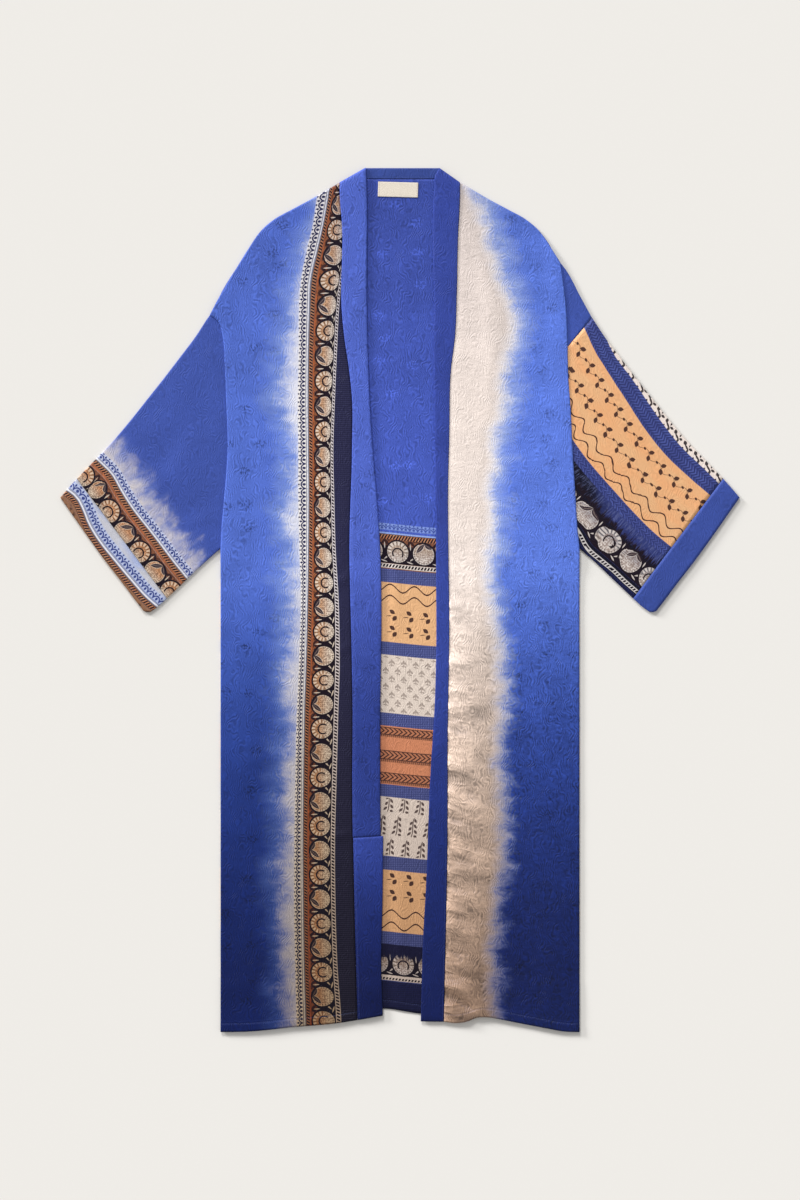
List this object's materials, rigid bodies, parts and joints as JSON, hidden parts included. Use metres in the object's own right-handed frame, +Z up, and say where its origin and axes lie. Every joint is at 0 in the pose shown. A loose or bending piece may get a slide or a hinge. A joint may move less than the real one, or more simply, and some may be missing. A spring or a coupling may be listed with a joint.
{
  "type": "kimono robe",
  "caption": "Long open-front kimono robe of printed and dip-dyed silk with wide slanting sleeves and a folded front band, laid flat on its back.",
  "frame": {"origin": "centre of the garment's bounding box, on the surface that it lies on", "axes": "+Z up from that surface, +Y from the hem to the neck, +X towards the wearer's left sleeve"},
  "size_m": [0.9842, 1.252, 0.0056],
  "materials": {
    "printed_silk": "soft silk, block-printed in peach, cream, navy and brown, with blue above",
    "dipped_silk": "silk jacquard with a low sheen, dip-dyed from royal blue to white",
    "cream_silk": "silk jacquard with a satin sheen, dip-dyed from cream to royal blue",
    "blue_silk": "plain royal blue silk jacquard with a low sheen",
    "label_tape": "matt woven tape, left bare"
  },
  "bodies": {
    "root": {"back": "printed_silk", "front_right": "dipped_silk", "front_left": "cream_silk", "band_right": "blue_silk", "band_right_lower": "blue_silk", "band_left": "blue_silk", "band_neck": "blue_silk", "label": "label_tape", "sleeve_right": "dipped_silk", "cuff_right": "printed_silk", "sleeve_left": "printed_silk", "sleeve_left_head": "blue_silk", "cuff_left": "blue_silk"}
  },
  "joints": []
}
